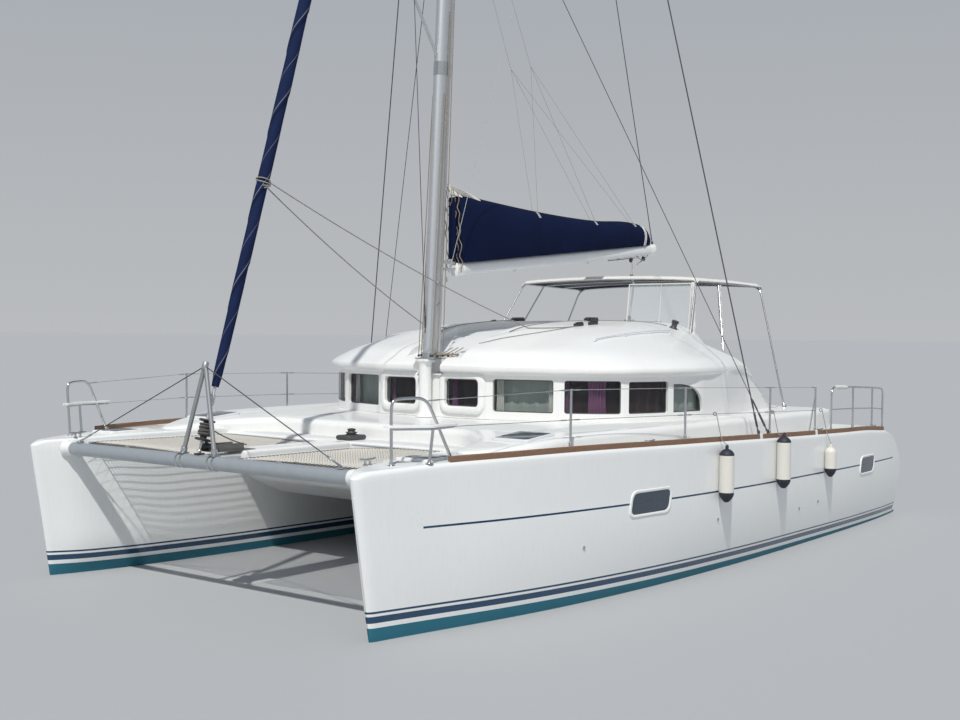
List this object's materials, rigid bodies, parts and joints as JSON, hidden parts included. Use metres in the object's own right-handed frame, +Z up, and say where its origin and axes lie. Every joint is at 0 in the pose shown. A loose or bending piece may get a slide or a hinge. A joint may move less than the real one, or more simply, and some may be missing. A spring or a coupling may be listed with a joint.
{
  "type": "cruising sailing catamaran",
  "caption": "Cruising sailing catamaran afloat with furled headsail, bagged mainsail, nets, saloon, bimini, rails and fenders.",
  "frame": {"origin": "on the waterline, on the centreline, half way between stem and transom", "axes": "+X forward, +Y to port, +Z up"},
  "size_m": [11.55, 6.6938, 18.1],
  "materials": {
    "gelcoat": "white gelcoat with blue stripes and antifouling low on the hulls",
    "underwater_paint": "matt teal antifouling",
    "spar_aluminium": "grey anodised",
    "stainless": "polished stainless",
    "navy_canvas": "dark navy acrylic canvas",
    "white_canvas": "white canvas, grey below",
    "net_cord": "beige knotless net",
    "teak": "oiled teak",
    "saloon_glass": "grey tinted",
    "hatch_acrylic": "smoked acrylic",
    "clear_vinyl": "clear sheet",
    "fender_vinyl": "white vinyl with navy ends",
    "propeller_bronze": "cast bronze",
    "upholstery": "cream cushions",
    "galley_top": "satin counter",
    "black_plastic": "black moulded",
    "rope": "braided polyester"
  },
  "bodies": {
    "root": {"hull_port": "gelcoat", "hull_starboard": "gelcoat", "bridgedeck": "gelcoat", "raised_deck": "gelcoat", "coachroof": "gelcoat", "saloon_bulkhead": "gelcoat", "cockpit_seats": "gelcoat", "helm_console": "gelcoat", "longeron": "gelcoat", "mast_post": "gelcoat", "keel_port": "underwater_paint", "keel_starboard": "underwater_paint", "mast": "spar_aluminium", "crossbeam": "spar_aluminium", "striker": "spar_aluminium", "windlass": "spar_aluminium", "saildrive_port": "spar_aluminium", "saildrive_starboard": "spar_aluminium", "pulpit_port": "stainless", "pulpit_starboard": "stainless", "guardrail_port": "stainless", "guardrail_starboard": "stainless", "pushpit_port": "stainless", "pushpit_starboard": "stainless", "shrouds_port": "stainless", "shrouds_starboard": "stainless", "jumper_stay": "stainless", "bimini_frame": "stainless", "furled_headsail": "navy_canvas", "bimini": "white_canvas", "trampoline_port": "net_cord", "trampoline_starboard": "net_cord", "toe_rail_port": "teak", "toe_rail_starboard": "teak", "cockpit_table": "teak", "saloon_table": "teak", "saloon_windows": "saloon_glass", "cockpit_screen": "clear_vinyl", "fender_1": "fender_vinyl", "fender_2": "fender_vinyl", "fender_3": "fender_vinyl", "saloon_settee": "upholstery", "galley_counter": "galley_top", "furler_drum": "black_plastic", "mainsheet_track": "black_plastic"},
    "boom": {"boom": "spar_aluminium", "sail_bag": "navy_canvas", "topping_lift": "stainless", "mainsheet": "rope"},
    "rudder_port": {"rudder_port": "underwater_paint"},
    "rudder_starboard": {"rudder_starboard": "underwater_paint"},
    "wheel": {"steering_wheel": "stainless"},
    "propeller_port": {"propeller_port": "propeller_bronze"},
    "propeller_starboard": {"propeller_starboard": "propeller_bronze"},
    "locker_lid_port": {"bow_locker_lid_port": "gelcoat"},
    "locker_lid_starboard": {"bow_locker_lid_starboard": "gelcoat"},
    "hatch_port": {"cabin_hatch_port": "hatch_acrylic"},
    "hatch_starboard": {"cabin_hatch_starboard": "hatch_acrylic"},
    "saloon_door": {"saloon_door": "saloon_glass"}
  },
  "joints": [
    {"name": "boom_swing", "type": "hinge", "parent": "root", "child": "boom", "pos_m": [1.49544, 0, 3.53], "axis": [-0.0548, 0, 0.9985], "range_deg": [-50, 50], "deforming": ["mainsheet"]},
    {"name": "rudder_port_turn", "type": "hinge", "parent": "root", "child": "rudder_port", "pos_m": [-4.9, 2.48, -0.4], "axis": [0, 0, 1], "range_deg": [-35, 35]},
    {"name": "rudder_starboard_turn", "type": "hinge", "parent": "root", "child": "rudder_starboard", "pos_m": [-4.9, -2.48, -0.4], "axis": [0, 0, 1], "range_deg": [-36, 36]},
    {"name": "wheel_turn", "type": "hinge", "parent": "root", "child": "wheel", "pos_m": [-2.42, 1.35, 1.82], "axis": [1, 0, 0], "range_deg": [-360, 360]},
    {"name": "propeller_port_spin", "type": "hinge", "parent": "root", "child": "propeller_port", "pos_m": [-3.84, 2.48, -0.8], "axis": [1, 0, 0], "continuous": true},
    {"name": "propeller_starboard_spin", "type": "hinge", "parent": "root", "child": "propeller_starboard", "pos_m": [-3.84, -2.48, -0.8], "axis": [1, 0, 0], "continuous": true},
    {"name": "locker_lid_port_lift", "type": "hinge", "parent": "root", "child": "locker_lid_port", "pos_m": [4.49, 2.32, 1.5456], "axis": [0, -1, 0], "range_deg": [0, 85]},
    {"name": "locker_lid_starboard_lift", "type": "hinge", "parent": "root", "child": "locker_lid_starboard", "pos_m": [4.49, -2.32, 1.5456], "axis": [0, -1, 0], "range_deg": [0, 85]},
    {"name": "hatch_port_lift", "type": "hinge", "parent": "root", "child": "hatch_port", "pos_m": [3.49, 2.37, 1.626], "axis": [0, 1, 0], "range_deg": [0, 85]},
    {"name": "hatch_starboard_lift", "type": "hinge", "parent": "root", "child": "hatch_starboard", "pos_m": [3.49, -2.37, 1.626], "axis": [0, 1, 0], "range_deg": [0, 85]},
    {"name": "saloon_door_slide", "type": "slide", "parent": "root", "child": "saloon_door", "axis": [0, 1, 0], "range_m": [0, 0.8]}
  ],
  "couplings": [
    {"joint": "rudder_starboard_turn", "follows": "rudder_port_turn", "ratio": 1},
    {"joint": "wheel_turn", "follows": "rudder_port_turn", "ratio": 10}
  ]
}
